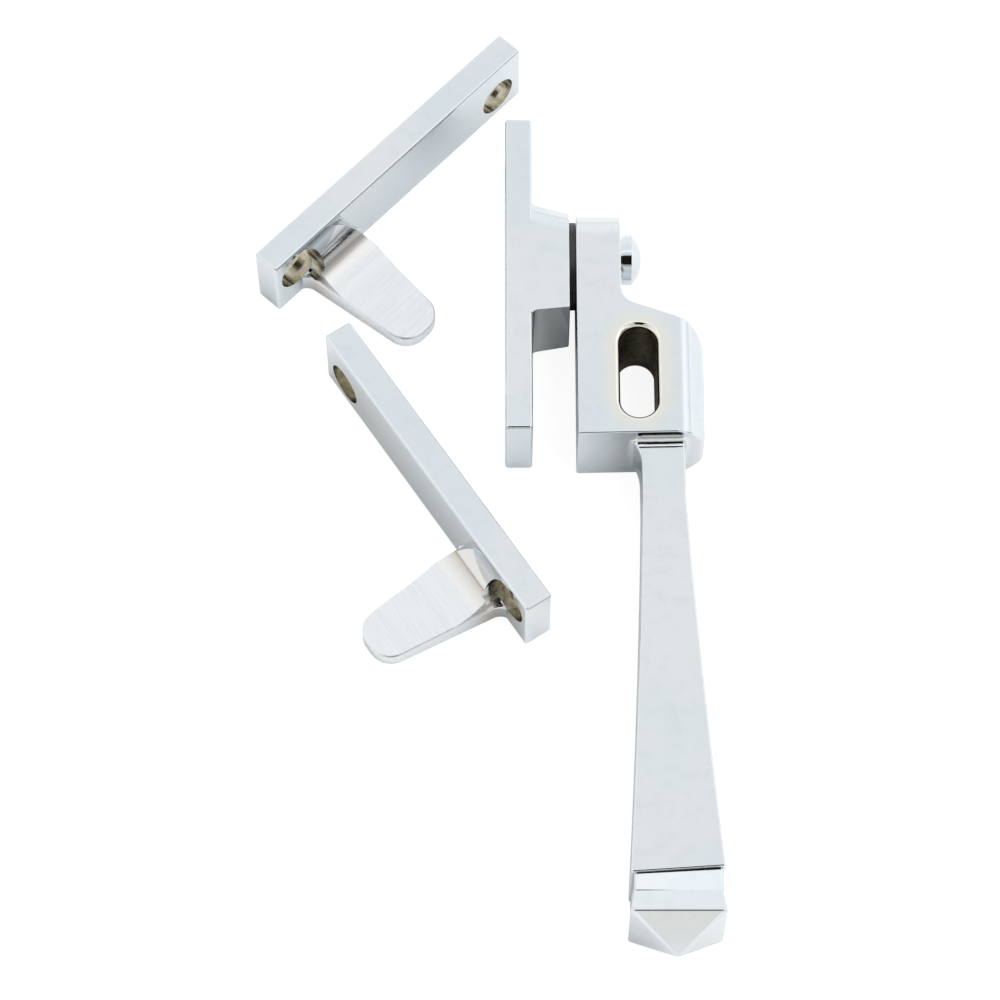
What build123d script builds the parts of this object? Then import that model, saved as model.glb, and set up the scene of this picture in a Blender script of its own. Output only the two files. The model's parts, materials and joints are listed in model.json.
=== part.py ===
from build123d import *
import os
from math import cos, radians, sin, tan

# Locking casement-window fastener with a handed pair of keepers.  Millimetres.
# The set lies flat: +Z is up, +Y runs from the handle's tip to the pivot, +X points
# from the window towards the room.  The fastener is drawn with its pivot at x = 0,
# y = 0 (x = 0 is the mounting face), and the whole set is moved at the end so that
# the origin is the middle of its bounding box, on the surface it lies on.

# Fastener: sizes shared by its pieces
DEPTH = 13.0                  # every part of the fastener is this deep, along Z
MID = DEPTH / 2
PLATE_EDGE = 0.45             # polished-over edges
FINE_EDGE = 0.25
GRIP_EDGE = 0.3
SHARP = 15                    # degrees between faces from which an edge is rounded

# Mounting plate with its boss
PLATE_THICK = 4.0
PLATE_TOP = 21.0
PLATE_BOTTOM = -32.0
PLATE_SCREW_TOP = 14.5        # screw hole centres, along Y from the pivot
PLATE_SCREW_BOTTOM = -22.0
SCREW_HOLE_R = 2.1            # clearance for a 4 mm countersunk screw
SCREW_HEAD_R = 3.9
BOSS_END = 9.6                # X of the boss's outer face
BOSS_ROOT_R = 6.5
BOSS_TIP_R = 6.15
BOSS_ROOT_Y = (1.9, -12.2)    # centre of the arch, flat underside
BOSS_TIP_Y = (0.95, -11.5)
BOSS_BLEND = 0.8              # hollow round where the boss grows out of the plate

# Pivot: pressed-in spindle, friction washer, clamp washer and lock screw
SPINDLE_R = 3.0
SPINDLE_START = 1.2
SPINDLE_END = 17.05
TAPPING_R = 2.05              # stands for the M4 thread in the spindle
TAPPING_START = 5.0
FRICTION_WASHER_END = 10.5
FRICTION_WASHER_R = 5.6
FRICTION_WASHER_DROP = 2.3    # how far its lower round lies below the pivot
RUNNING_GAP = 0.05
CLAMP_HUB_R = 3.3
CLAMP_HUB_START = 17.25
CLAMP_RIM_START = 17.6
CLAMP_RIM_R = 3.75
HEAD_START = 18.05
HEAD_R = 3.8                  # M4 button head
HEAD_RIM = 0.9
HEAD_HEIGHT = 2.5
SHANK_R = 2.0
SHANK_END = 6.5
HEX_KEY = 2.5
HEX_DEPTH = 1.3

# Lever: head, nose and vent slot
LEVER_FACE = FRICTION_WASHER_END + RUNNING_GAP
HEAD_FRONT = 17.2             # room-side face of the lever beside the pivot
HEAD_ARCH_R = DEPTH / 2
SHOULDER = (17.2, -10.2)      # inner corner under the screw
NOSE_CORNER = (29.5, -14.7)
NOSE_BOTTOM = (29.2, -32.45)
LEVER_BOTTOM = -32.85
NOSE_START = 26.0             # X where the nose begins to round
HEAD_CORNER_R = 1.7
HEAD_CORNER_RISE = 0.2        # the corner's round starts this far above the arch
SHOULDER_R = 2.7
NOSE_CORNER_R = 4.6
NOSE_FOOT_R = 0.9
NOSE_BLEND_R = 3.0
SLOT_X = 19.55
SLOT_WIDTH = 5.5
SLOT_TOP = -14.95
SLOT_BOTTOM = -29.9
SLOT_LIP = 0.9

# Lever: handle, from its neck to the moulding
NECK_Y = -42.0
WAIST_Y = -70.0
GRIP_END_Y = -99.9
HANDLE_LEFT = (19.8, 18.8, 17.15)       # X at the neck, the waist and the end
HANDLE_RIGHT = (26.2, 27.9, 30.2)
HANDLE_HALF_DEPTH = (3.85, 4.75, 6.1)
GRIP_END_LEAN = 4.0           # degrees that the grip's end leans from square
NECK_FLARE = 1.2              # how far the neck spreads into the head, plate side
NECK_FLARE_Y = -36.6          # where that spread starts
NECK_BLEND = 1.0              # hollow round between the grip and the head

# Lever: end moulding, half sizes along X and Z
END_X = 23.65
RECESS_Y = -102.6
FLANGE_Y = -106.0
TIP_Y = -110.3
RECESS_TOP_HALF = (6.15, 5.3)
RECESS_HALF = (6.15, 5.1)
FLANGE_HALF = (6.65, 6.5)
TIP_HALF = (0.35, 0.35)
FLANGE_EDGE = 0.35
RECESS_TWIST = 1.5            # degrees about the handle's own axis

# Keepers: a bar with a tapered tongue that the lever draws against
BAR_LENGTH = 53.6
BAR_THICK = 4.4
BAR_DEPTH = 11.9
BAR_EDGE = 0.4
KEEPER_HOLE_R = 2.1
NEAR_HOLE = (4.7, 7.1)        # centre along the bar and up from the table
FAR_HOLE = (48.5, 4.7)
NEAR_HEAD_R = 3.65
FAR_HEAD_R = 3.25
HEAD_SINK = 1.9               # straight wall of the screw-head recess
HEAD_CLEARANCE = 2.4          # how far the recess also cuts the gusset in front of it
TONGUE_ROOT = (5.9, 17.2)     # tongue's two sides along the bar, at its root
TONGUE_TIP = (8.0, 15.6)      # and at its end
TONGUE_LENGTH = 19.5
TONGUE_TIP_R = 3.5
TONGUE_ROOT_R = 2.0           # hollow round against the bar, on the near side
TONGUE_FAR_R = 0.8
TONGUE_EDGE = 0.3
TONGUE_ROOT_THICK = 3.4
TONGUE_TIP_THICK = 2.3
GUSSET_REACH = 8.0             # from the bar to where it runs out on the tongue
GUSSET_TOP = (6.9, 10.8)      # ends of its upper edge, along the bar
GUSSET_TOP_Z = 11.4
GUSSET_WAIST = (14.9, 7.4)    # a point on its slanting side, then that side's foot
GUSSET_FOOT = (17.1, 2.8)

# Where the keepers lie beside the fastener: corner of the bar, and angle
LEFT_KEEPER_AT = (-34.23, -5.06, 47.0)
RIGHT_KEEPER_AT = (-26.70, -16.06, -56.4)


def along_x(outline, start, end):
    """Solid with the given outline in (Y, Z), from X = start to X = end."""
    return extrude(Plane.YZ.offset(start) * make_face(outline), amount=end - start)


def along_y(outline, start, end):
    """Solid with the given outline in (Z, X), from Y = start to Y = end."""
    face = outline if isinstance(outline, Sketch) else make_face(outline)
    return extrude(Plane.ZX.offset(start) * face, amount=end - start)


def along_z(outline, start, end):
    """Solid with the given outline in (X, Y), from Z = start to Z = end."""
    return extrude(Plane.XY.offset(start) * make_face(outline), amount=end - start)


def rod_x(radius, start, end, y=0.0, z=MID):
    """Round bar along X."""
    return extrude(Plane.YZ.offset(start) * Pos(y, z) * Circle(radius), amount=end - start)


def sharp_edges(body):
    """Edges where two faces meet at an angle, leaving out the smooth joins."""
    found = ShapeList()
    faces = body.faces()
    for edge in body.edges():
        middle = edge.position_at(0.5)
        beside = [face for face in faces if any(edge.is_same(e) for e in face.edges())]
        if len(beside) == 2:
            normals = [face.normal_at(middle) for face in beside]
            if normals[0].get_angle(normals[1]) > SHARP:
                found.append(edge)
    return found


def arch(radius, centre_y, bottom_y):
    """Tombstone outline in (Y, Z): a half circle at the top and a flat underside."""
    low = (centre_y, MID - radius)
    high = (centre_y, MID + radius)
    return [
        ThreePointArc(low, (centre_y + radius, MID), high),
        Polyline(high, (bottom_y, MID + radius), (bottom_y, MID - radius), low),
    ]


def screw_hole(radius, head_radius, face, back, y, z):
    """Countersunk hole along X, its wide mouth at X = face."""
    cone = head_radius - radius
    sink = Plane.YZ.offset(face - cone) * Pos(y, z) * Circle(radius)
    mouth = Plane.YZ.offset(face) * Pos(y, z) * Circle(head_radius)
    return rod_x(radius, back, face, y, z) + loft([sink, mouth])


def boss():
    """Tapered boss that spreads hollowly into the plate, above and below."""
    sections = []
    for angle, out in ((65, -1.0), (65, 0.0), (35, 0.0), (0, 0.0)):
        rise = BOSS_BLEND * (1 - sin(radians(angle))) + out
        spread = BOSS_BLEND * (1 - cos(radians(angle)))
        outline = arch(BOSS_ROOT_R, BOSS_ROOT_Y[0] + spread, BOSS_ROOT_Y[1] - spread)
        sections.append(Plane.YZ.offset(PLATE_THICK + rise) * make_face(outline))
    sections.append(Plane.YZ.offset(BOSS_END) * make_face(arch(BOSS_TIP_R, *BOSS_TIP_Y)))
    body = loft(sections, ruled=True)
    return fillet(sharp_edges(body).filter_by_position(Axis.X, BOSS_END, BOSS_END), FINE_EDGE)


def mounting_plate():
    plate = Pos(PLATE_THICK / 2, (PLATE_TOP + PLATE_BOTTOM) / 2, MID) * Box(
        PLATE_THICK, PLATE_TOP - PLATE_BOTTOM, DEPTH
    )
    body = fillet(plate.edges(), PLATE_EDGE) + boss()
    body -= rod_x(SPINDLE_R, SPINDLE_START, BOSS_END)
    for y in (PLATE_SCREW_TOP, PLATE_SCREW_BOTTOM):
        body -= screw_hole(SCREW_HOLE_R, SCREW_HEAD_R, PLATE_THICK, 0, y, MID)
    return body


def pivot_spindle():
    body = rod_x(SPINDLE_R, SPINDLE_START, SPINDLE_END)
    body = chamfer(body.edges().filter_by(GeomType.CIRCLE), 0.2)
    return body - rod_x(TAPPING_R, TAPPING_START, SPINDLE_END)


def friction_washer():
    r = FRICTION_WASHER_R
    low = -FRICTION_WASHER_DROP
    outline = [
        ThreePointArc((0, MID - r), (r, MID), (0, MID + r)),
        Line((0, MID + r), (low, MID + r)),
        ThreePointArc((low, MID + r), (low - r, MID), (low, MID - r)),
        Line((low, MID - r), (0, MID - r)),
    ]
    body = along_x(outline, BOSS_END, FRICTION_WASHER_END)
    return body - rod_x(SPINDLE_R, BOSS_END, FRICTION_WASHER_END)


def lever_head():
    """Head and nose: side, front and plan outlines, all three crossed."""
    side = FilletPolyline(
        (LEVER_FACE, HEAD_ARCH_R + HEAD_CORNER_RISE),
        (HEAD_FRONT, HEAD_ARCH_R + HEAD_CORNER_RISE),
        SHOULDER,
        NOSE_CORNER,
        NOSE_BOTTOM,
        (LEVER_FACE, LEVER_BOTTOM),
        radius=(0, HEAD_CORNER_R, SHOULDER_R, NOSE_CORNER_R, NOSE_FOOT_R, 0),
        close=True,
    )
    plan = make_face(
        [
            ThreePointArc((0, NOSE_START), (MID, NOSE_CORNER[0]), (DEPTH, NOSE_START)),
            Polyline(
                (DEPTH, NOSE_START), (DEPTH, LEVER_FACE), (0, LEVER_FACE), (0, NOSE_START)
            ),
        ]
    )
    plan = fillet(plan.vertices().filter_by(lambda v: v.Y > LEVER_FACE + 1), NOSE_BLEND_R)
    body = along_z(side, 0, DEPTH)
    body &= along_x(arch(HEAD_ARCH_R, 0, LEVER_BOTTOM - 1), LEVER_FACE, NOSE_CORNER[0])
    body &= along_y(plan, LEVER_BOTTOM - 1, HEAD_ARCH_R)
    return fillet(sharp_edges(body), FINE_EDGE)


def vent_slot():
    length = SLOT_TOP - SLOT_BOTTOM
    middle = Pos(SLOT_X, (SLOT_TOP + SLOT_BOTTOM) / 2, 0)
    return extrude(middle * Rot(0, 0, 90) * SlotOverall(length, SLOT_WIDTH), amount=DEPTH)


def handle():
    """Tapered square grip: its side and its plan outlines crossed."""
    rise = tan(radians(GRIP_END_LEAN)) * (HANDLE_RIGHT[2] - HANDLE_LEFT[2]) / 2
    root_y = LEVER_BOTTOM + 0.4
    left_neck = (HANDLE_LEFT[0], NECK_Y)
    left_end = (HANDLE_LEFT[2], GRIP_END_Y - rise)
    right_neck = (HANDLE_RIGHT[0], NECK_Y)
    right_end = (HANDLE_RIGHT[2], GRIP_END_Y + rise)
    flare_start = (HANDLE_LEFT[0], NECK_FLARE_Y)
    flare_end = (HANDLE_LEFT[0] - NECK_FLARE, LEVER_BOTTOM)
    side = [
        ThreePointArc(left_end, (HANDLE_LEFT[1], WAIST_Y), left_neck),
        Line(left_neck, flare_start),
        TangentArc(flare_start, flare_end, tangent=(0, 1)),
        Polyline(flare_end, (flare_end[0], root_y), (HANDLE_RIGHT[0], root_y), right_neck),
        ThreePointArc(right_neck, (HANDLE_RIGHT[1], WAIST_Y), right_end),
        Line(right_end, left_end),
    ]
    neck, waist, end = HANDLE_HALF_DEPTH
    front = [
        ThreePointArc((NECK_Y, MID + neck), (WAIST_Y, MID + waist), (GRIP_END_Y - 2, MID + end)),
        Line((GRIP_END_Y - 2, MID + end), (GRIP_END_Y - 2, MID - end)),
        ThreePointArc((GRIP_END_Y - 2, MID - end), (WAIST_Y, MID - waist), (NECK_Y, MID - neck)),
        Polyline(
            (NECK_Y, MID - neck), (root_y, MID - neck), (root_y, MID + neck), (NECK_Y, MID + neck)
        ),
    ]
    body = along_z(side, 0, DEPTH) & along_x(front, LEVER_FACE, NOSE_CORNER[0] + 5)
    return fillet(sharp_edges(body), GRIP_EDGE)


def moulding_section(y, half, corner, twist=0.0):
    """Rounded rectangle across the handle at height y."""
    outline = RectangleRounded(2 * half[1], 2 * half[0], corner)
    return Plane.ZX.offset(y) * Pos(MID, END_X) * Rot(0, 0, twist) * outline


def end_moulding():
    recess = loft(
        [
            moulding_section(GRIP_END_Y + 1.2, RECESS_TOP_HALF, 0.4, RECESS_TWIST),
            moulding_section(RECESS_Y, RECESS_HALF, 0.4, RECESS_TWIST),
        ]
    )
    flare = loft(
        [
            moulding_section(RECESS_Y, RECESS_HALF, 0.4),
            moulding_section(FLANGE_Y, FLANGE_HALF, 0.6),
        ]
    )
    tip = loft(
        [
            moulding_section(FLANGE_Y, FLANGE_HALF, 0.6),
            moulding_section(TIP_Y, TIP_HALF, 0.2),
        ]
    )
    flange = flare + tip
    rim = sharp_edges(flange).filter_by_position(Axis.Y, FLANGE_Y - 0.1, FLANGE_Y + 0.1)
    return recess + fillet(rim, FLANGE_EDGE)


def lever_handle():
    head = lever_head() - vent_slot()
    head = fillet(sharp_edges(head), SLOT_LIP)
    body = head + handle()
    neck = sharp_edges(body).filter_by_position(Axis.Y, LEVER_BOTTOM, NOSE_BOTTOM[1])
    neck = neck.filter_by(lambda edge: edge.center().X > HANDLE_LEFT[0] - 2 * NECK_FLARE)
    body = fillet(neck, NECK_BLEND) + end_moulding()
    return body - rod_x(SPINDLE_R + RUNNING_GAP, LEVER_FACE, HEAD_FRONT)


def clamp_washer():
    body = rod_x(CLAMP_HUB_R, CLAMP_HUB_START, CLAMP_RIM_START)
    body += rod_x(CLAMP_RIM_R, CLAMP_RIM_START, HEAD_START)
    return body - rod_x(TAPPING_R, CLAMP_HUB_START, HEAD_START)


def lock_screw():
    rim_end = HEAD_START + HEAD_RIM
    apex = HEAD_START + HEAD_HEIGHT
    dome_rise = HEAD_HEIGHT - HEAD_RIM
    dome_r = (HEAD_R**2 + dome_rise**2) / (2 * dome_rise)
    outline = make_face(
        [
            Polyline(
                (apex, 0), (SHANK_END, 0), (SHANK_END, SHANK_R), (HEAD_START, SHANK_R),
                (HEAD_START, HEAD_R), (rim_end, HEAD_R),
            ),
            RadiusArc((rim_end, HEAD_R), (apex, 0), dome_r),
        ]
    )
    body = Pos(0, 0, MID) * revolve(outline, axis=Axis.X)
    socket = RegularPolygon(HEX_KEY / 2, 6, major_radius=False)
    socket = Plane.YZ.offset(apex - HEX_DEPTH) * Pos(0, MID) * socket
    return body - extrude(socket, amount=HEX_DEPTH)


def keeper_hole(centre, head_radius):
    """Screw hole along Y: a wall through the bar and a recess for the head and driver."""
    x, z = centre
    through = extrude(Plane.ZX * Pos(z, x) * Circle(KEEPER_HOLE_R), amount=BAR_THICK)
    recess = Plane.ZX.offset(-HEAD_CLEARANCE) * Pos(z, x) * Circle(head_radius)
    return through + extrude(recess, amount=HEAD_CLEARANCE + HEAD_SINK)


def tongue_prism(height):
    """Upright solid on the tongue's plan: tapered, round-tipped, flared at its root."""
    outline = FilletPolyline(
        (TONGUE_ROOT[0] - 3, 2.0),
        (TONGUE_ROOT[0] - 3, 0.5),
        (TONGUE_ROOT[0], 0.0),
        (TONGUE_TIP[0], -TONGUE_LENGTH),
        (TONGUE_TIP[1], -TONGUE_LENGTH),
        (TONGUE_ROOT[1], 0.0),
        (TONGUE_ROOT[1] + 3, 0.5),
        (TONGUE_ROOT[1] + 3, 2.0),
        radius=(0, 0, TONGUE_ROOT_R, TONGUE_TIP_R, TONGUE_TIP_R, TONGUE_FAR_R, 0, 0),
        close=True,
    )
    return along_z(outline, 0, height)


def tongue():
    wedge = Polyline(
        (2.0, 0),
        (2.0, TONGUE_ROOT_THICK),
        (0, TONGUE_ROOT_THICK),
        (-TONGUE_LENGTH, TONGUE_TIP_THICK),
        (-TONGUE_LENGTH, 0),
        close=True,
    )
    body = tongue_prism(TONGUE_ROOT_THICK) & along_x(wedge, 0, BAR_LENGTH / 2)
    return fillet(sharp_edges(body), TONGUE_EDGE)


def gusset():
    """Hollow-faced web that braces the tongue against the bar."""
    fall = (TONGUE_ROOT_THICK - TONGUE_TIP_THICK) / TONGUE_LENGTH
    foot = (-GUSSET_REACH, TONGUE_ROOT_THICK - fall * GUSSET_REACH)
    top = (0, GUSSET_TOP_Z)
    hollow = [
        TangentArc(foot, top, tangent=(1, fall)),
        Polyline(top, (1, GUSSET_TOP_Z), (1, 1), (-GUSSET_REACH, 1), foot),
    ]
    front = [
        Polyline(
            (GUSSET_FOOT[1], GUSSET_FOOT[0]), (0, GUSSET_FOOT[0]), (0, GUSSET_TOP[0]),
            (GUSSET_TOP_Z, GUSSET_TOP[0]), (GUSSET_TOP_Z, GUSSET_TOP[1]),
        ),
        ThreePointArc(
            (GUSSET_TOP_Z, GUSSET_TOP[1]),
            (GUSSET_WAIST[1], GUSSET_WAIST[0]),
            (GUSSET_FOOT[1], GUSSET_FOOT[0]),
        ),
    ]
    web = along_x(hollow, 0, BAR_LENGTH / 2) & along_y(front, -GUSSET_REACH, 1)
    return web & tongue_prism(GUSSET_TOP_Z)


def keeper():
    """Keeper in its own frame: bar along X from 0, tongue towards -Y near x = 0."""
    bar = Pos(BAR_LENGTH / 2, BAR_THICK / 2, BAR_DEPTH / 2) * Box(
        BAR_LENGTH, BAR_THICK, BAR_DEPTH
    )
    body = fillet(bar.edges(), BAR_EDGE) + tongue() + gusset()
    body -= keeper_hole(NEAR_HOLE, NEAR_HEAD_R)
    return body - keeper_hole(FAR_HOLE, FAR_HEAD_R)


def placed(body, at):
    x, y, angle = at
    return Pos(x, y, 0) * Rot(0, 0, angle) * body


def build():
    left = keeper()
    right = Pos(BAR_LENGTH, 0, 0) * mirror(left, about=Plane.YZ)
    pieces = {
        "mounting_plate": mounting_plate(),
        "pivot_spindle": pivot_spindle(),
        "friction_washer": friction_washer(),
        "lever_handle": lever_handle(),
        "clamp_washer": clamp_washer(),
        "lock_screw": lock_screw(),
        "keeper_left": placed(left, LEFT_KEEPER_AT),
        "keeper_right": placed(right, RIGHT_KEEPER_AT),
    }
    box = Compound(children=[Part() + piece for piece in pieces.values()]).bounding_box()
    origin = Pos(-box.center().X, -box.center().Y, -box.min.Z)
    os.makedirs("parts", exist_ok=True)
    for name, piece in pieces.items():
        export_step(origin * piece, "parts/" + name + ".step")
    print("pivot axis at y, z:", origin.position.Y, MID)
    print("mounting face at x:", origin.position.X)
    print("box:", box.size)


build()
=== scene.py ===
import json
from math import cos, degrees, radians, sin

import bpy
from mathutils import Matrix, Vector


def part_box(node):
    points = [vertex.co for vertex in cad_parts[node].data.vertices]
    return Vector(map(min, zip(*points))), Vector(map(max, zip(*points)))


# Looks for the window fastener and its two keepers.  Metres, in the frame of the CAD:
# +X from the window to the room, +Y from the handle's tip to the pivot, +Z up from
# the table.  A node's object coordinates are that frame at rest.

MM = 0.001

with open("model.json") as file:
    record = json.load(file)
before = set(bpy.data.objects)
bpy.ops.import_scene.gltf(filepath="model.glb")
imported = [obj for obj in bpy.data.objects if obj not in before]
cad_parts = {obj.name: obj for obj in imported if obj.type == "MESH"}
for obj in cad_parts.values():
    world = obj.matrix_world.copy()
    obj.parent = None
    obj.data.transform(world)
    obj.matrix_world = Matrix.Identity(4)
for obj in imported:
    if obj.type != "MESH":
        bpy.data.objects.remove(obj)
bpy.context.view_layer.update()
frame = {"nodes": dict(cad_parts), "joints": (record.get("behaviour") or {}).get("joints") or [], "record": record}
nodes = frame["nodes"]
mounts = {mount["name"]: mount for mount in frame["record"]["mounts"]}


# ---- Node graphs ----------------------------------------------------------------


class Graph:
    """Builds a node tree with short calls; each returns its node's output socket, if any."""

    def __init__(self, tree):
        self.tree = tree
        tree.nodes.clear()

    def add(self, kind, inputs=None, out=0, **settings):
        """One node. inputs maps a socket's name or number to a value or a socket."""
        node = self.tree.nodes.new(kind)
        for key, value in settings.items():
            setattr(node, key, value)
        for key, value in (inputs or {}).items():
            if isinstance(value, bpy.types.NodeSocket):
                self.tree.links.new(value, node.inputs[key])
            else:
                node.inputs[key].default_value = value
        return node.outputs[out] if len(node.outputs) else None

    def math(self, operation, a, b=0.0, c=0.0):
        return self.add("ShaderNodeMath", {0: a, 1: b, 2: c}, operation=operation)

    def product(self, a, b):
        return self.math("MULTIPLY", a, b)

    def larger(self, a, b):
        return self.math("MAXIMUM", a, b)

    def step(self, value, start, end, low=0.0, high=1.0):
        """low before start, high after end, and a smooth change between them."""
        inputs = {
            "Value": value,
            "From Min": start,
            "From Max": end,
            "To Min": low,
            "To Max": high,
        }
        return self.add("ShaderNodeMapRange", inputs, interpolation_type="SMOOTHSTEP")

    def vector_math(self, operation, vector, other=(0, 0, 0), out=0):
        inputs = {0: vector, 1: tuple(other)}
        return self.add("ShaderNodeVectorMath", inputs, out, operation=operation)

    def dot(self, vector, direction):
        return self.vector_math("DOT_PRODUCT", vector, direction, out="Value")

    def length(self, vector):
        return self.vector_math("LENGTH", vector, out="Value")

    def offset(self, vector, point):
        return self.vector_math("SUBTRACT", vector, point)

    def stretch(self, vector, scale):
        return self.vector_math("MULTIPLY", vector, scale)

    def combine(self, x, y, z):
        return self.add("ShaderNodeCombineXYZ", {0: x, 1: y, 2: z})

    def noise(self, vector, scale=1.0, detail=3.0, roughness=0.5):
        """Noise around 0.5; scale is cells per metre, or 1 where vector is already scaled."""
        inputs = {"Vector": vector, "Scale": scale, "Detail": detail, "Roughness": roughness}
        return self.add("ShaderNodeTexNoise", inputs)

    def mix(self, factor, a, b):
        """A colour from a to b."""
        node = self.tree.nodes.new("ShaderNodeMix")
        node.data_type = "RGBA"
        factor_socket, a_socket, b_socket = node.inputs[0], node.inputs[6], node.inputs[7]
        for socket, value in ((factor_socket, factor), (a_socket, a), (b_socket, b)):
            if isinstance(value, bpy.types.NodeSocket):
                self.tree.links.new(value, socket)
            else:
                socket.default_value = value if socket.type == "VALUE" else (*value, 1.0)
        return node.outputs[2]

    def blend(self, factor, a, b):
        """A number from a to b."""
        return self.add("ShaderNodeMix", {0: factor, 2: a, 3: b})

    def bump(self, height, depth, normal=None):
        """Relief of that depth in metres."""
        inputs = {"Height": height, "Distance": depth, "Strength": 1.0}
        if normal is not None:
            inputs["Normal"] = normal
        return self.add("ShaderNodeBump", inputs)

    def place(self):
        """Coordinates in the CAD's frame, in metres."""
        return self.add("ShaderNodeTexCoord", out="Object")


def surface_material(name, build):
    """A material with the surface that build(graph) returns."""
    material = bpy.data.materials.new(name)
    material.use_nodes = True
    graph = Graph(material.node_tree)
    graph.add("ShaderNodeOutputMaterial", {"Surface": build(graph)})
    return material


def new_material(name, build):
    """A material with the Principled shader whose inputs build(graph) returns."""
    return surface_material(
        name, lambda graph: graph.add("ShaderNodeBsdfPrincipled", build(graph))
    )


# ---- Surfaces -------------------------------------------------------------------

CHROME_COOL = (0.625, 0.68, 0.72)
CHROME_WARM = (0.675, 0.705, 0.72)
CHROME_HAZE = (0.57, 0.62, 0.64)
CHROME_ROUGHNESS = 0.06
SMUDGE_ROUGHNESS = 0.07
WIPE_ROUGHNESS = 0.05
WIPE_SCALE = (2500.0, 260.0, 2500.0)
GRAIN_SCALE = (9000.0, 2200.0, 9000.0)
WAVE_DEPTH = 22e-6
GRAIN_DEPTH = 0.35e-6
PIT_DEPTH = 1.5e-6
BRUSH_SCALE = (140.0, 3600.0)    # along the bar, across it
BRUSH_DEPTH = 0.12e-6
CAST_DEPTH = 60e-6
BRASS_DULL = (0.60, 0.56, 0.455)
BRASS_PALE = (0.81, 0.795, 0.735)
# Slot walls: dull unplated metal, darkened as painted shade
CASTING_AND_SHADE_DARK = (0.10, 0.09, 0.07)
CASTING_AND_SHADE_PALE = (0.30, 0.265, 0.19)
# A warm tint painted round the vent slot, a painted reflection
RIM_PAINTED_REFLECTION = (0.78, 0.72, 0.58)
# A warm tint painted on the keeper's web, a painted reflection
WEB_PAINTED_REFLECTION = (0.68, 0.61, 0.55)
SATIN_DULL = (0.665, 0.70, 0.73)
SATIN_BRIGHT = (0.755, 0.78, 0.80)

# The vent slot, placed from the pivot
PIVOT = Vector(frame["joints"][0]["pos_m"])
LEVER_HALF_DEPTH = 6.5 * MM
SLOT_RADIUS = 2.75 * MM
SLOT_STRAIGHT = 9.45 * MM
SLOT_CENTRE = PIVOT + Vector((19.55, -22.425, 0.0)) * MM
SLOT_LIP = 0.9 * MM

# Keeper: distances from its back face
SATIN_START, SATIN_END = 4.6 * MM, 9.5 * MM
WEB_START, WEB_FULL = 4.5 * MM, 5.4 * MM
WEB_FADE, WEB_END = 6.5 * MM, 10.5 * MM
BAR_FRONT = 4.4 * MM
HOLE_RADIUS = 3.65 * MM


def chrome_base(graph, place):
    """Hand-polished chrome plate: (colour, roughness, normal)."""
    cloud = graph.noise(place, 45.0, detail=4.0)
    colour = graph.mix(graph.step(cloud, 0.35, 0.7), CHROME_COOL, CHROME_WARM)
    haze = graph.step(graph.noise(place, 420.0, detail=5.0, roughness=0.6), 0.45, 0.75)
    colour = graph.mix(graph.product(haze, 0.35), colour, CHROME_HAZE)
    # Handling marks, then fine wipe marks along the handle
    smudge = graph.step(graph.noise(place, 160.0, detail=6.0, roughness=0.62), 0.47, 0.7)
    scratches = graph.noise(graph.stretch(place, WIPE_SCALE), detail=4.0)
    wipe = graph.step(scratches, 0.52, 0.75)
    roughness = graph.math("MULTIPLY_ADD", smudge, SMUDGE_ROUGHNESS, CHROME_ROUGHNESS)
    roughness = graph.math("MULTIPLY_ADD", wipe, WIPE_ROUGHNESS, roughness)
    # Polishing waves, grain and pits
    normal = graph.bump(graph.noise(place, 130.0, detail=1.0), WAVE_DEPTH)
    grain = graph.noise(graph.stretch(place, GRAIN_SCALE))
    normal = graph.bump(grain, GRAIN_DEPTH, normal)
    pits = graph.step(graph.noise(place, 2600.0, detail=2.0), 0.70, 0.80)
    normal = graph.bump(pits, -PIT_DEPTH, normal)
    return colour, roughness, normal


def metal(colour, roughness, normal):
    """Inputs of the Principled shader for a metal."""
    return {"Base Color": colour, "Metallic": 1.0, "Roughness": roughness, "Normal": normal}


def chrome(graph):
    return metal(*chrome_base(graph, graph.place()))


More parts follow.
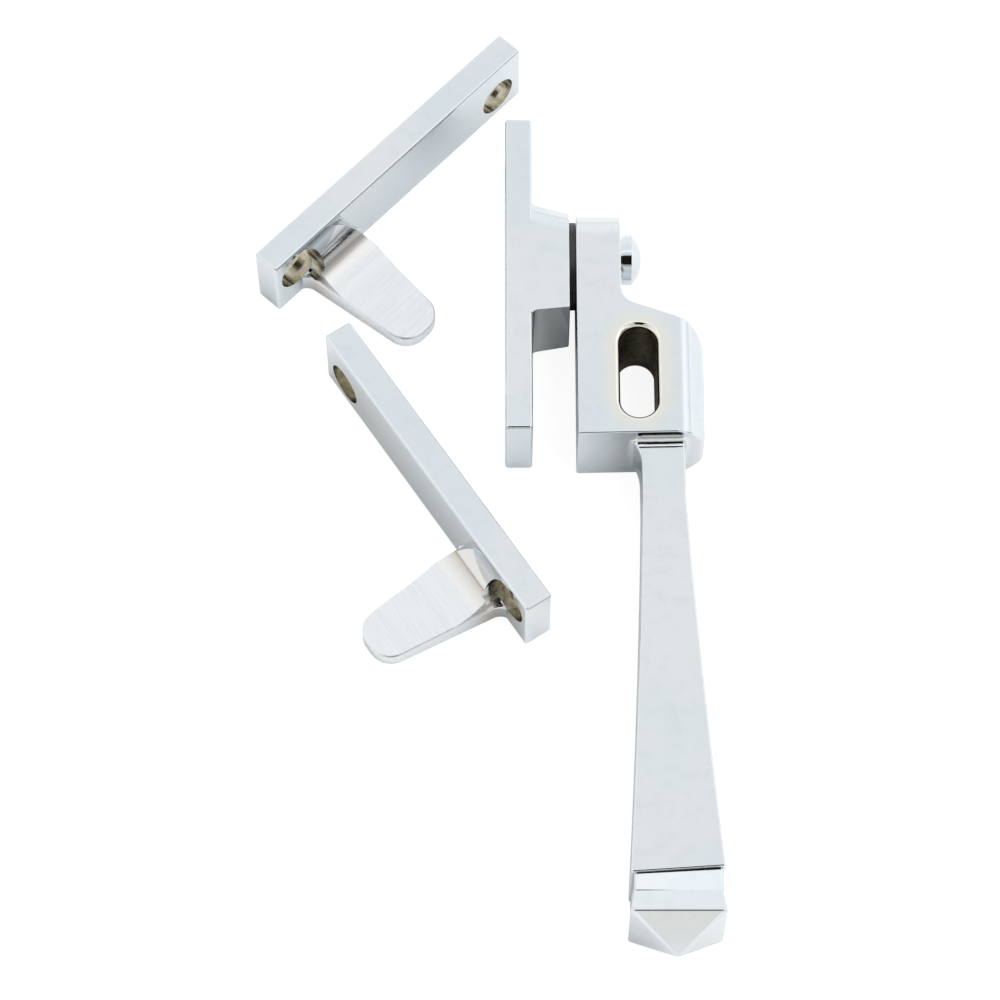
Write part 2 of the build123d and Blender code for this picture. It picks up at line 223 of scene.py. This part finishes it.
def lever_chrome(graph):
    """Chrome; the unpolished metal inside the vent slot, partly its own dull tone and partly painted shade, and a
    warm reflection painted round the slot.
    """
    place = graph.place()
    colour, roughness, normal = chrome_base(graph, place)
    # Distance from the slot's centre line, and from its middle height
    rel = graph.offset(place, SLOT_CENTRE)
    across = graph.math("ABSOLUTE", graph.dot(rel, (1, 0, 0)))
    along = graph.math("ABSOLUTE", graph.dot(rel, (0, 1, 0)))
    beyond = graph.larger(graph.math("SUBTRACT", along, SLOT_STRAIGHT / 2), 0.0)
    squares = [graph.math("POWER", distance, 2.0) for distance in (across, beyond)]
    reach = graph.math("SQRT", graph.math("ADD", *squares))
    height = graph.math("ABSOLUTE", graph.dot(rel, (0, 0, 1)))
    wall = graph.step(reach, SLOT_RADIUS + 0.02 * MM, SLOT_RADIUS + 0.2 * MM, 1.0, 0.0)
    lip_start = LEVER_HALF_DEPTH - SLOT_LIP
    depth = graph.step(height, lip_start, lip_start + 0.3 * MM, 1.0, 0.0)
    inside = graph.product(wall, depth)
    # A warm gold tint painted round the slot's edge: a painted reflection
    painted_rim_reflection = graph.step(reach, SLOT_RADIUS + 0.2 * MM, SLOT_RADIUS + 3.4 * MM, 0.5, 0.0)
    colour = graph.mix(painted_rim_reflection, colour, RIM_PAINTED_REFLECTION)
    # Inside the slot: the dull unplated metal's own tone, darkened further as painted shade
    lumps = graph.noise(place, 900.0, detail=5.0, roughness=0.6)
    casting_and_shade = graph.mix(graph.step(lumps, 0.3, 0.7), CASTING_AND_SHADE_DARK, CASTING_AND_SHADE_PALE)
    colour = graph.mix(inside, colour, casting_and_shade)
    roughness = graph.blend(inside, roughness, graph.step(lumps, 0.3, 0.7, 0.34, 0.55))
    normal = graph.bump(graph.product(lumps, inside), CAST_DEPTH, normal)
    return metal(colour, roughness, normal)


def hole_distance(graph, place, mount):
    """Distance from a mount's axis."""
    rel = graph.offset(place, mount["pos_m"])
    along = graph.dot(rel, mount["axis"])
    squares = [graph.math("POWER", value, 2.0) for value in (graph.length(rel), along)]
    return graph.math("SQRT", graph.larger(graph.math("SUBTRACT", *squares), 0.0))


def keeper_chrome(side):
    """Chrome with a brushed satin tongue, thin plating in the holes and a warm reflection painted on the web."""
    back = mounts[f"keeper_{side}_back"]
    axis = Vector(back["axis"])
    bar = Vector((-axis.y, axis.x, 0.0))

    def build(graph):
        place = graph.place()
        colour, roughness, normal = chrome_base(graph, place)
        rel = graph.offset(place, back["pos_m"])
        front = graph.product(graph.dot(rel, axis), -1.0)
        # Satin tongue, brushed along the bar
        satin = graph.step(front, SATIN_START, SATIN_END)
        streaks = graph.combine(
            graph.product(graph.dot(rel, bar), BRUSH_SCALE[0]),
            graph.product(front, BRUSH_SCALE[1]),
            graph.product(graph.dot(rel, (0, 0, 1)), BRUSH_SCALE[1]),
        )
        lines = graph.noise(streaks, detail=5.0, roughness=0.65)
        brushed = graph.mix(graph.step(lines, 0.32, 0.68), SATIN_DULL, SATIN_BRIGHT)
        colour = graph.mix(satin, colour, brushed)
        roughness = graph.blend(satin, roughness, graph.step(lines, 0.3, 0.7, 0.26, 0.36))
        normal = graph.bump(graph.product(lines, satin), BRUSH_DEPTH, normal)
        # A warm tint painted on the web's hollow face: a painted reflection
        web = graph.product(
            graph.step(front, WEB_START, WEB_FULL, 0.0, 0.5),
            graph.step(front, WEB_FADE, WEB_END, 1.0, 0.0),
        )
        colour = graph.mix(web, colour, WEB_PAINTED_REFLECTION)
        # Thin plating inside the screw holes
        near, far = (
            hole_distance(graph, place, mounts[f"keeper_{side}_{hole}_screw"])
            for hole in ("near", "far")
        )
        nearest = graph.math("MINIMUM", near, far)
        inside = graph.step(nearest, HOLE_RADIUS - 0.03 * MM, HOLE_RADIUS + 0.1 * MM, 1.0, 0.0)
        before_front = graph.step(front, BAR_FRONT - 0.3 * MM, BAR_FRONT, 1.0, 0.0)
        off_back = graph.step(front, 0.1 * MM, 0.4 * MM)
        inside = graph.product(graph.product(inside, before_front), off_back)
        stain = graph.step(graph.noise(place, 380.0, detail=4.0), 0.3, 0.7)
        colour = graph.mix(inside, colour, graph.mix(stain, BRASS_DULL, BRASS_PALE))
        worn = graph.math("MULTIPLY_ADD", stain, -0.08, 0.2)
        return metal(colour, graph.blend(inside, roughness, worn), normal)

    return build


def turned_steel(graph):
    """Spindle: plain steel with fine rings round its axis."""
    place = graph.place()
    rings = graph.noise(graph.stretch(place, (9000.0, 40.0, 40.0)))
    colour = graph.mix(rings, (0.42, 0.42, 0.43), (0.6, 0.6, 0.6))
    return metal(colour, graph.step(rings, 0.3, 0.7, 0.25, 0.4), graph.bump(rings, 4e-6))


def black_nylon(graph):
    """Friction washer: matt, slightly mottled black plastic."""
    place = graph.place()
    grain = graph.noise(place, 5200.0, detail=4.0)
    mottled = graph.noise(place, 700.0)
    return {
        "Base Color": graph.mix(mottled, (0.008, 0.008, 0.009), (0.03, 0.03, 0.032)),
        "Roughness": graph.step(grain, 0.3, 0.7, 0.38, 0.55),
        "Normal": graph.bump(grain, 8e-6),
    }


# ---- Studio ---------------------------------------------------------------------

FLOOR_SIZE = 3.0
PAPER = (0.86, 0.86, 0.86)
PAPER_DIM = tuple(0.985 * channel for channel in PAPER)


def paper_surface(graph):
    """Pale paper. Seen directly it is lifted towards white, as in a bright studio."""
    fibre = graph.noise(graph.place(), 900.0, detail=4.0)
    colour = graph.mix(fibre, PAPER_DIM, PAPER)
    relief = graph.bump(fibre, 2e-6)
    paper = graph.add("ShaderNodeBsdfDiffuse", {"Color": colour, "Normal": relief})
    dim = graph.add("ShaderNodeBsdfDiffuse", {"Color": (0.16, 0.16, 0.16, 1.0)})
    lit = graph.add("ShaderNodeEmission", {"Color": (1, 1, 1, 1), "Strength": 0.90})
    lifted = graph.add("ShaderNodeAddShader", {0: dim, 1: lit})
    seen = graph.add("ShaderNodeLightPath", out="Is Camera Ray")
    return graph.add("ShaderNodeMixShader", {0: seen, 1: paper, 2: lifted})


def felt_surface(graph):
    """Black felt."""
    nap = graph.noise(graph.place(), 800.0)
    colour = graph.mix(nap, (0.008, 0.008, 0.008), (0.014, 0.014, 0.014))
    return graph.add("ShaderNodeBsdfDiffuse", {"Color": colour})


def make_plane(name, centre, across, up, material):
    """Flat four-cornered piece of the studio."""
    mesh = bpy.data.meshes.new(name)
    corners = [centre + across * a + up * b for a, b in ((-1, -1), (1, -1), (1, 1), (-1, 1))]
    mesh.from_pydata([tuple(c) for c in corners], [], [(0, 1, 2, 3)])
    piece = bpy.data.objects.new(name, mesh)
    bpy.context.scene.collection.objects.link(piece)
    mesh.materials.append(material)
    return piece


RAMP_SCALE = 2.0       # a colour ramp holds 0 to 1, and the light goes above 1


def ramp(graph, angle, stops):
    """A grey by angle in degrees from -90 to 90, straight between (angle, grey) stops."""
    node = graph.tree.nodes.new("ShaderNodeValToRGB")
    elements = node.color_ramp.elements
    while len(elements) < len(stops):
        elements.new(0.5)
    for element, (stop, grey) in zip(elements, stops):
        element.position = (stop + 90) / 180
        element.color = (grey / RAMP_SCALE,) * 3 + (1.0,)
    graph.tree.links.new(graph.math("MULTIPLY_ADD", angle, 1 / 180, 0.5), node.inputs[0])
    return graph.product(node.outputs[0], RAMP_SCALE)


# Light from above by its lean in degrees: -90 the camera's side, 90 the far side
CEILING = [
    (-90, 1.05), (-66, 1.0), (-54, 0.45), (-48, 0.8), (0, 0.95), (4, 1.1), (7, 1.3),
    (15, 1.3), (20, 1.09), (38, 1.09), (60, 1.2), (84, 1.2), (90, 1.0),
]
RIGHT_LIGHT = 1.45
LEFT_LIGHT = 1.25
BACKGROUND = 0.95
DOORWAY = Vector((0.91, -0.40, 0.2))    # towards the studio's darker doorway


def make_world():
    """Studio seen by reflections: bright ceiling, brighter sides and a darker doorway."""
    world = bpy.data.worlds.new("studio")
    world.use_nodes = True
    bpy.context.scene.world = world
    graph = Graph(world.node_tree)
    direction = graph.add("ShaderNodeTexCoord", out="Generated")
    x, y, z = (graph.dot(direction, axis) for axis in ((1, 0, 0), (0, 1, 0), (0, 0, 1)))
    one_radian = degrees(1)
    lean = graph.product(graph.math("ARCTAN2", y, graph.larger(z, 0.001)), one_radian)
    height = graph.product(graph.math("ARCSINE", z), one_radian)
    light = ramp(graph, lean, CEILING)
    # The two sides, weaker near the horizon
    low_side = graph.step(height, 2.0, 34.0, 0.76, 1.0)
    right = graph.step(x, 0.40, 0.75)
    left = graph.step(x, -0.45, -0.75)
    light = graph.blend(right, light, graph.product(low_side, RIGHT_LIGHT))
    light = graph.blend(left, light, graph.product(low_side, LEFT_LIGHT))
    # A dark band at the horizon, beside the camera
    aside = graph.step(graph.math("ABSOLUTE", x), 0.6, 0.85)
    beside = graph.product(aside, graph.step(y, -0.25, -0.1, 1.0, 0.0))
    low = graph.step(height, 1.0, 4.0, 1.0, 0.0)
    shade = graph.product(graph.product(beside, low), 0.75)
    light = graph.product(light, graph.math("SUBTRACT", 1.0, shade))
    doorway = graph.dot(direction, DOORWAY.normalized())
    light = graph.product(light, graph.step(doorway, 0.90, 0.975, 1.0, 0.3))
    seen = graph.add("ShaderNodeLightPath", out="Is Camera Ray")
    light = graph.blend(seen, light, BACKGROUND)
    warm = graph.step(lean, -62.0, -44.0, 1.0, 0.0)
    colour = graph.mix(warm, (1.0, 1.0, 1.0), (1.0, 0.95, 0.88))
    surface = graph.add("ShaderNodeBackground", {"Color": colour, "Strength": light})
    graph.add("ShaderNodeOutputWorld", {"Surface": surface})


def make_softbox(name, place, size, watts):
    """Soft light on the table, which the chrome does not mirror."""
    lamp = bpy.data.lights.new(name, "AREA")
    lamp.shape = "DISK"
    lamp.size = size
    lamp.energy = watts
    light = bpy.data.objects.new(name, lamp)
    bpy.context.scene.collection.objects.link(light)
    light.location = place
    light.rotation_euler = (-place).to_track_quat("-Z", "Y").to_euler()
    light.visible_glossy = False
    light.visible_camera = False


FILL_PLACE = Vector((0.5, -0.1, 1.1))
FILL_SIZE = 0.9
FILL_WATTS = 9.0

# The photo's view, towards a point placed from the mounting plate's box
VIEW_ELEVATION = radians(63.5)
VIEW_DISTANCE = 0.53156
VIEW_LENS = 129.41
VIEW_TARGET = (-0.79 * MM, -58.2 * MM)

# Black cloth round the camera: it draws the chrome's thin dark lines
CARD_DISTANCE = 0.8
CARD_LOW, CARD_HIGH = radians(39), radians(85)
CARD_HALF_WIDTH = radians(13)


def toward(elevation):
    """Direction on the camera's side at that height above the table."""
    return Vector((0.0, -cos(elevation), sin(elevation)))


def make_cloth(target):
    facing = toward((CARD_LOW + CARD_HIGH) / 2)
    across = Vector((1, 0, 0))
    up = facing.cross(across)
    cloth = make_plane(
        "camera_cloth",
        target + facing * CARD_DISTANCE,
        across * CARD_DISTANCE * sin(CARD_HALF_WIDTH),
        up * CARD_DISTANCE * sin((CARD_HIGH - CARD_LOW) / 2),
        surface_material("felt", felt_surface),
    )
    cloth.visible_camera = False


def make_camera(target):
    camera = bpy.data.objects.new("camera", bpy.data.cameras.new("camera"))
    bpy.context.scene.collection.objects.link(camera)
    camera.location = target + toward(VIEW_ELEVATION) * VIEW_DISTANCE
    camera.rotation_euler = (radians(90) - VIEW_ELEVATION, 0, 0)
    camera.data.lens = VIEW_LENS
    camera.data.sensor_width = 36
    camera.data.clip_start = 0.05
    camera.data.clip_end = 20
    bpy.context.scene.camera = camera


def make_studio():
    plate_low, plate_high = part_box("mounting_plate")
    target = Vector((plate_low.x + VIEW_TARGET[0], plate_high.y + VIEW_TARGET[1], 0.0))
    half = FLOOR_SIZE / 2
    make_plane(
        "floor",
        Vector((0, 0, 0)),
        Vector((half, 0, 0)),
        Vector((0, half, 0)),
        surface_material("paper", paper_surface),
    )
    make_cloth(target)
    make_softbox("fill", FILL_PLACE, FILL_SIZE, FILL_WATTS)
    make_camera(target)
    bpy.context.scene.view_settings.view_transform = "Standard"


plain_chrome = new_material("chrome", chrome)
finishes = {
    "mounting_plate": plain_chrome,
    "clamp_washer": plain_chrome,
    "lock_screw": plain_chrome,
    "lever_handle": new_material("lever_chrome", lever_chrome),
    "pivot_spindle": new_material("turned_steel", turned_steel),
    "friction_washer": new_material("black_nylon", black_nylon),
    "keeper_left": new_material("keeper_left_chrome", keeper_chrome("left")),
    "keeper_right": new_material("keeper_right_chrome", keeper_chrome("right")),
}
for name, material in finishes.items():
    for slot in nodes[name].material_slots:
        slot.material = material

make_world()
make_studio()
